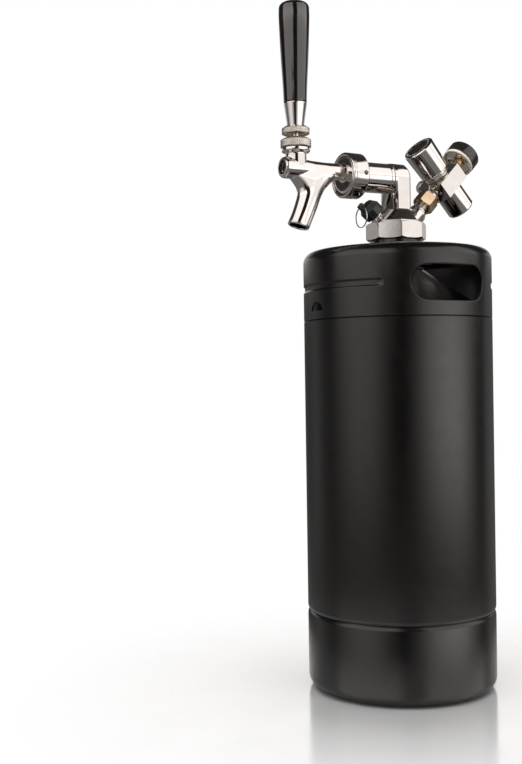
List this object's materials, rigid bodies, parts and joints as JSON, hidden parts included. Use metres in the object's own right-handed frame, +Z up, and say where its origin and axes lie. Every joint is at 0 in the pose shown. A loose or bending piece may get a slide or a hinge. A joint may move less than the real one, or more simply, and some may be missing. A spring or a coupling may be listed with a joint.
{
  "type": "beer keg with tap",
  "caption": "Small metal beer keg with a screw-on tap head, a lever tap on a side shank, a relief valve with a pull ring, and a cartridge gas regulator with a knob and a gauge.",
  "frame": {"origin": "on the floor, under the centre of the whole object's bounding box; the keg's own axis stands 8.3 mm behind it, at y = +0.0083", "axes": "+Z up along the keg; -Y the way the tap points; +X and -X the two hand holes"},
  "size_m": [0.15, 0.1885, 0.5347],
  "materials": {
    "adjusting_knob": "polished chrome plate",
    "adjusting_screw": "bright stainless steel",
    "ball_washer": "satin black",
    "bonnet": "satin nickel plate",
    "bottom_skirt": "matt black powder coat",
    "cartridge_socket": "polished chrome plate",
    "collar_nut": "polished chrome plate",
    "coupling_nut": "polished chrome plate",
    "diaphragm": "matt black",
    "dip_tube": "bright stainless steel",
    "faucet_body": "polished chrome plate",
    "faucet_gasket": "matt black",
    "faucet_shaft": "bright stainless steel",
    "front_plug": "bright stainless steel",
    "gas_nipple": "satin nickel plate",
    "gas_nut": "plain brass",
    "gas_tailpiece": "satin nickel plate",
    "gauge_boot": "matt black",
    "gauge_case": "polished chrome plate",
    "gauge_dial": "white enamel",
    "gauge_lens": "clear",
    "gauge_pointer": "satin black",
    "gauge_ring": "cream",
    "gauge_stem": "plain brass",
    "handle_ferrule": "polished chrome plate",
    "head_body": "polished chrome plate",
    "head_gasket": "matt black",
    "head_stem": "polished chrome plate",
    "keg_vessel": "matt black powder coat",
    "knob_disc": "satin black",
    "lever_lock_nut": "satin nickel plate",
    "lower_spring_plate": "bright stainless steel",
    "neck_boss": "matt black powder coat",
    "nipple_seal": "matt black",
    "piercing_pin": "bright stainless steel",
    "poppet": "plain brass",
    "poppet_spring": "bright stainless steel",
    "port_plug": "bright stainless steel",
    "pull_ring": "bright stainless steel",
    "range_spring": "bright stainless steel",
    "regulator_body": "polished chrome plate",
    "regulator_bonnet": "satin nickel plate",
    "relief_body": "polished chrome plate",
    "relief_cap": "satin black",
    "relief_seal": "matt black",
    "relief_spring": "bright stainless steel",
    "relief_stem": "bright stainless steel",
    "seat_washer": "matt black",
    "shank": "polished chrome plate",
    "side_valve_body": "polished chrome plate",
    "side_valve_cap": "satin nickel plate",
    "socket_seal": "matt black",
    "stem_o_ring": "matt black",
    "tap_handle": "glossy black",
    "tap_lever": "bright stainless steel",
    "tap_post": "polished chrome plate",
    "top_collar": "matt black powder coat",
    "upper_spring_plate": "bright stainless steel"
  },
  "bodies": {
    "keg": {"keg_vessel": "keg_vessel", "top_collar": "top_collar", "bottom_skirt": "bottom_skirt", "neck_boss": "neck_boss"},
    "tap_head": {"ball_washer": "ball_washer", "bonnet": "bonnet", "cartridge_socket": "cartridge_socket", "coupling_nut": "coupling_nut", "diaphragm": "diaphragm", "dip_tube": "dip_tube", "faucet_body": "faucet_body", "faucet_gasket": "faucet_gasket", "front_plug": "front_plug", "gas_nipple": "gas_nipple", "gas_nut": "gas_nut", "gas_tailpiece": "gas_tailpiece", "gauge_boot": "gauge_boot", "gauge_case": "gauge_case", "gauge_dial": "gauge_dial", "gauge_lens": "gauge_lens", "gauge_ring": "gauge_ring", "gauge_stem": "gauge_stem", "head_body": "head_body", "head_gasket": "head_gasket", "head_stem": "head_stem", "lower_spring_plate": "lower_spring_plate", "nipple_seal": "nipple_seal", "piercing_pin": "piercing_pin", "poppet_spring": "poppet_spring", "port_plug": "port_plug", "range_spring": "range_spring", "regulator_body": "regulator_body", "regulator_bonnet": "regulator_bonnet", "relief_body": "relief_body", "relief_spring": "relief_spring", "shank": "shank", "side_valve_body": "side_valve_body", "side_valve_cap": "side_valve_cap", "socket_seal": "socket_seal", "stem_o_ring": "stem_o_ring", "tap_post": "tap_post"},
    "collar_nut": {"collar_nut": "collar_nut"},
    "lever": {"tap_lever": "tap_lever", "lever_lock_nut": "lever_lock_nut", "handle_ferrule": "handle_ferrule", "tap_handle": "tap_handle"},
    "shaft": {"faucet_shaft": "faucet_shaft", "seat_washer": "seat_washer"},
    "relief_plunger": {"relief_cap": "relief_cap", "relief_stem": "relief_stem", "relief_seal": "relief_seal"},
    "pull_ring": {"pull_ring": "pull_ring"},
    "knob": {"adjusting_knob": "adjusting_knob", "knob_disc": "knob_disc"},
    "screw": {"adjusting_screw": "adjusting_screw", "upper_spring_plate": "upper_spring_plate"},
    "pointer": {"gauge_pointer": "gauge_pointer"},
    "poppet": {"poppet": "poppet"}
  },
  "joints": [
    {"name": "head_lift", "type": "slide", "parent": "keg", "child": "tap_head", "axis": [0, 0, 1], "range_m": [0, 0.34]},
    {"name": "collar_nut_turn", "type": "hinge", "parent": "tap_head", "child": "collar_nut", "pos_m": [0, 0.0083, 0.3626], "axis": [0, 0, 1], "range_deg": [0, 1080]},
    {"name": "lever_pull", "type": "hinge", "parent": "tap_head", "child": "lever", "pos_m": [0, -0.0827, 0.42], "axis": [1, 0, 0], "range_deg": [0, 24]},
    {"name": "shaft_slide", "type": "slide", "parent": "tap_head", "child": "shaft", "axis": [0, 1, 0], "range_m": [0, 0.0052]},
    {"name": "relief_pull", "type": "slide", "parent": "tap_head", "child": "relief_plunger", "axis": [0, -0.766, 0.6428], "range_m": [0, 0.0015], "stiffness_N_per_m": 1500, "springref_m": -0.002, "deforming": ["relief_spring"]},
    {"name": "ring_swing", "type": "hinge", "parent": "relief_plunger", "child": "pull_ring", "pos_m": [0, -0.0243, 0.3813], "axis": [-1, 0, 0], "range_deg": [-5, 100]},
    {"name": "knob_turn", "type": "hinge", "parent": "tap_head", "child": "knob", "pos_m": [-0.00526, 0.05831, 0.40728], "axis": [-0.0739, 0.7032, -0.7071], "range_deg": [0, 900]},
    {"name": "screw_travel", "type": "slide", "parent": "tap_head", "child": "screw", "axis": [-0.0739, 0.7032, -0.7071], "range_m": [0, 0.0025], "deforming": ["range_spring"]},
    {"name": "pointer_swing", "type": "hinge", "parent": "tap_head", "child": "pointer", "pos_m": [-0.00775, 0.08208, 0.43118], "axis": [0.0739, -0.7032, -0.7071], "range_deg": [0, 270], "stiffness_Nm_per_rad": 0.0005, "springref_deg": -17.19},
    {"name": "poppet_lift", "type": "slide", "parent": "tap_head", "child": "poppet", "axis": [-0.0739, 0.7032, -0.7071], "range_m": [0, 0.0006], "stiffness_N_per_m": 300, "springref_m": -0.002, "deforming": ["poppet_spring"]}
  ],
  "couplings": [
    {"joint": "shaft_slide", "follows": "lever_pull", "m_per_rad": 0.012235},
    {"joint": "screw_travel", "follows": "knob_turn", "m_per_rad": 0.00015915}
  ]
}
